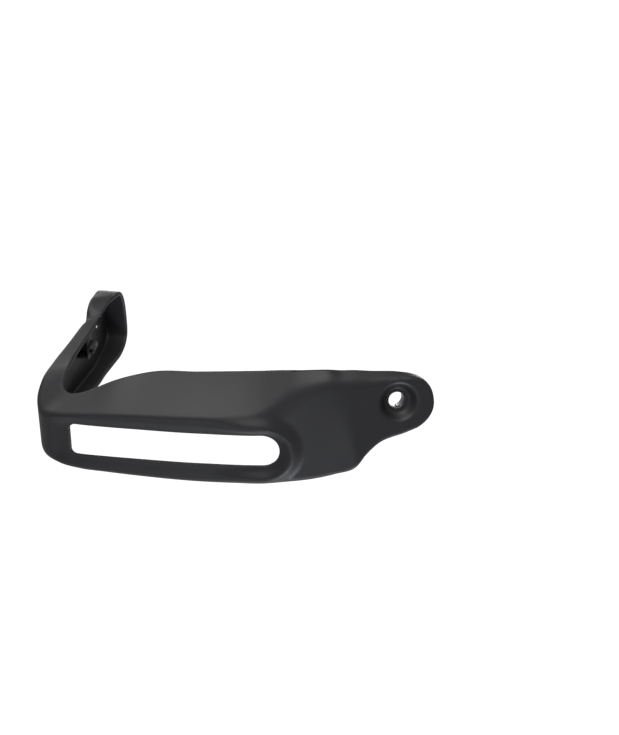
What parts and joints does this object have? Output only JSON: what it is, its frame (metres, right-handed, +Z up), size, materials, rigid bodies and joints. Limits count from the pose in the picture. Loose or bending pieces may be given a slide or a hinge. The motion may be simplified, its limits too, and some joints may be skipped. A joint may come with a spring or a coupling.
{
  "type": "motorbike hand guard",
  "caption": "Slotted hand guard shell with a bar end cap on a channel arm at one side and a bolt lug with a steel collar at the other.",
  "frame": {"origin": "centre of the bar end bore, inside the wall of the cap", "axes": "+X along the handlebar toward the middle of the motorbike, -Y forward, +Z up, as the guard is fitted at the bar end on one side"},
  "size_m": [0.2553, 0.1232, 0.0785],
  "materials": {
    "black_plastic": "satin charcoal black, fine moulded grain",
    "collar_steel": "plain rolled steel"
  },
  "bodies": {
    "root": {"guard_shell": "black_plastic", "mount_collar": "collar_steel"}
  },
  "joints": []
}
